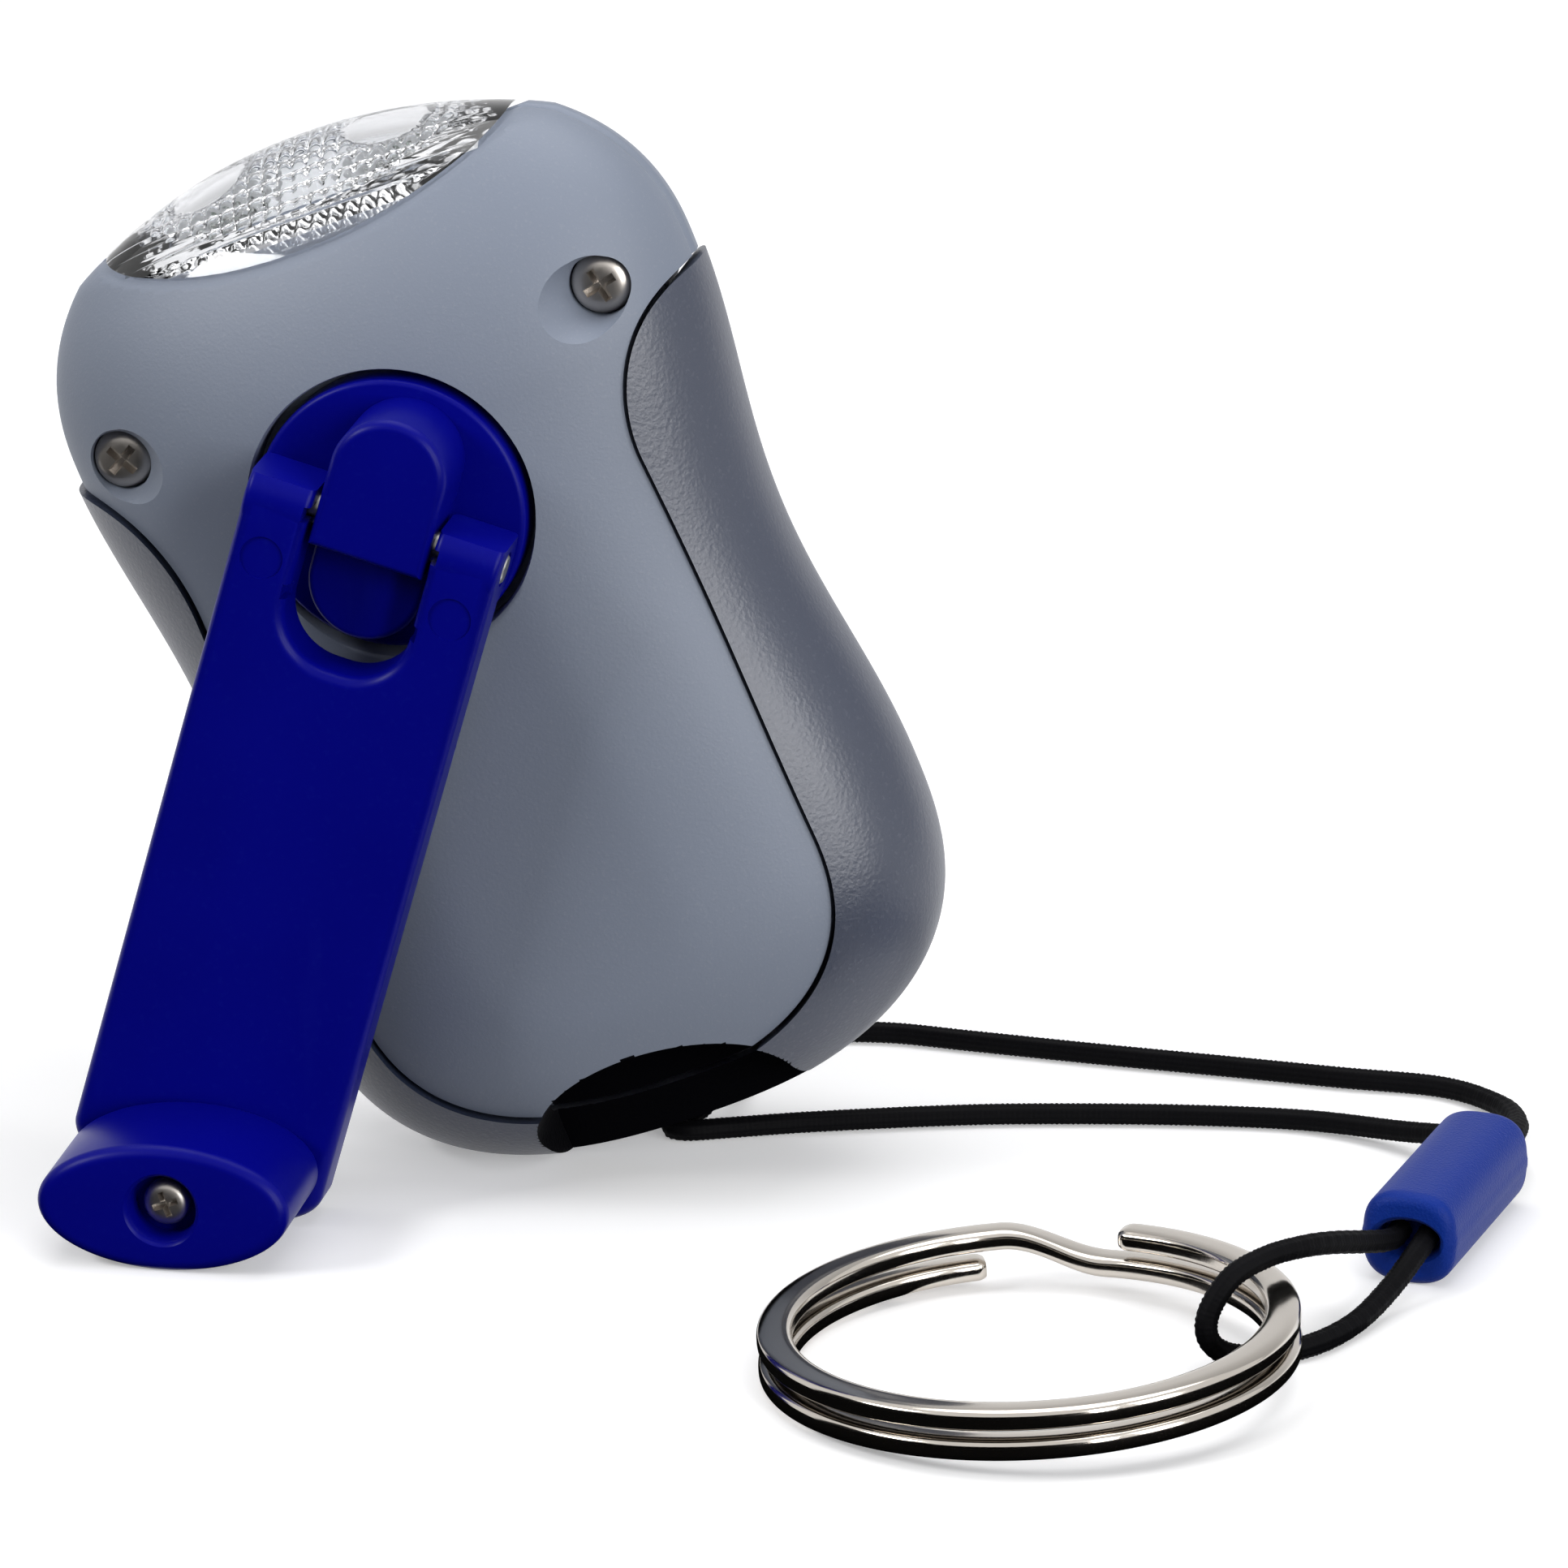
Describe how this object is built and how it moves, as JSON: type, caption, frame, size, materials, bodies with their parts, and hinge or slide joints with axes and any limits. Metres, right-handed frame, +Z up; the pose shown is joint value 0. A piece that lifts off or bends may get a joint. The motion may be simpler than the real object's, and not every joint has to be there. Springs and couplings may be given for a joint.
{
  "type": "hand crank dynamo torch",
  "caption": "Small waisted grey torch with a soft side grip, a domed lens over lamps and a blue folding crank; a black cord with a bead holds a split key ring.",
  "frame": {"origin": "middle of the torch's footprint (housing and crank, without cord, bead and ring), on the table", "axes": "+Z up from the table, -Y the crank side (rear), +Y the button side (front), X across; the lens points up and left"},
  "size_m": [0.087, 0.0689, 0.0634],
  "materials": {
    "shell_grey": "fine matt texture",
    "grip_slate": "soft-touch, satin",
    "clear_lens": "clear, polished",
    "clear_lamp": "clear, polished",
    "white_plastic": "gloss",
    "board_green": "lacquered",
    "black_plastic": "matt",
    "crank_blue": "semi-gloss moulded",
    "slider_blue": "fine frosted",
    "steel": "plated",
    "ring_nickel": "bright nickel",
    "gear_plastic": "natural",
    "magnet_grey": "dull",
    "copper_wire": "enamelled",
    "cord_black": "braided"
  },
  "bodies": {
    "housing": {"rear_shell": "shell_grey", "front_shell": "shell_grey", "grip_band": "grip_slate", "lens": "clear_lens", "reflector": "white_plastic", "led_left": "clear_lamp", "led_right": "clear_lamp", "led_board": "board_green", "circuit_board": "board_green", "tact_switch": "black_plastic", "battery_cell": "steel", "case_screw_left": "steel", "case_screw_right": "steel", "gear_plate": "steel", "axle_one": "steel", "axle_two": "steel", "stator_core": "magnet_grey", "coil": "copper_wire", "lanyard_bar": "steel", "lanyard_cord": "cord_black", "cord_loop": "cord_black", "cord_slider": "slider_blue"},
    "crank": {"crank_hub": "crank_blue", "drive_gear": "gear_plastic"},
    "arm": {"crank_arm": "crank_blue", "hinge_pin": "steel", "knob_screw": "steel"},
    "handle": {"knob": "crank_blue"},
    "first_gear": {"gear_one": "gear_plastic"},
    "second_gear": {"gear_two": "gear_plastic"},
    "rotor": {"rotor_pinion": "gear_plastic", "rotor_shaft": "steel", "magnet": "magnet_grey"},
    "button": {"push_button": "crank_blue"},
    "ring": {"split_ring": "ring_nickel"}
  },
  "joints": [
    {"name": "crank_spin", "type": "hinge", "parent": "housing", "child": "crank", "pos_m": [-0.00411, 0.0068, 0.04171], "axis": [0, 1, 0], "continuous": true},
    {"name": "arm_fold", "type": "hinge", "parent": "crank", "child": "arm", "pos_m": [-0.00411, -0.0069, 0.04171], "axis": [-0.9621, 0, 0.2728], "range_deg": [0, 180]},
    {"name": "knob_spin", "type": "hinge", "parent": "arm", "child": "handle", "pos_m": [-0.01486, -0.0139, 0.0038], "axis": [0, 1, 0], "continuous": true},
    {"name": "gear_one_spin", "type": "hinge", "parent": "housing", "child": "first_gear", "pos_m": [0.00282, 0.0068, 0.03285], "axis": [0, 1, 0], "continuous": true},
    {"name": "gear_two_spin", "type": "hinge", "parent": "housing", "child": "second_gear", "pos_m": [-0.00179, 0.0068, 0.0246], "axis": [0, 1, 0], "continuous": true},
    {"name": "rotor_spin", "type": "hinge", "parent": "housing", "child": "rotor", "pos_m": [0.00511, 0.0068, 0.01955], "axis": [0, 1, 0], "continuous": true},
    {"name": "button_press", "type": "slide", "parent": "housing", "child": "button", "axis": [0, -1, 0], "range_m": [0, 0.0004], "stiffness_N_per_m": 4000, "springref_m": -0.0002},
    {"name": "ring_turn", "type": "hinge", "parent": "housing", "child": "ring", "pos_m": [0.03648, -0.0252, 0.00092], "axis": [-0.061, 0, 0.9981], "continuous": true}
  ],
  "couplings": [
    {"joint": "gear_one_spin", "follows": "crank_spin", "ratio": -4},
    {"joint": "gear_two_spin", "follows": "crank_spin", "ratio": 12.8},
    {"joint": "rotor_spin", "follows": "crank_spin", "ratio": -35.84}
  ]
}
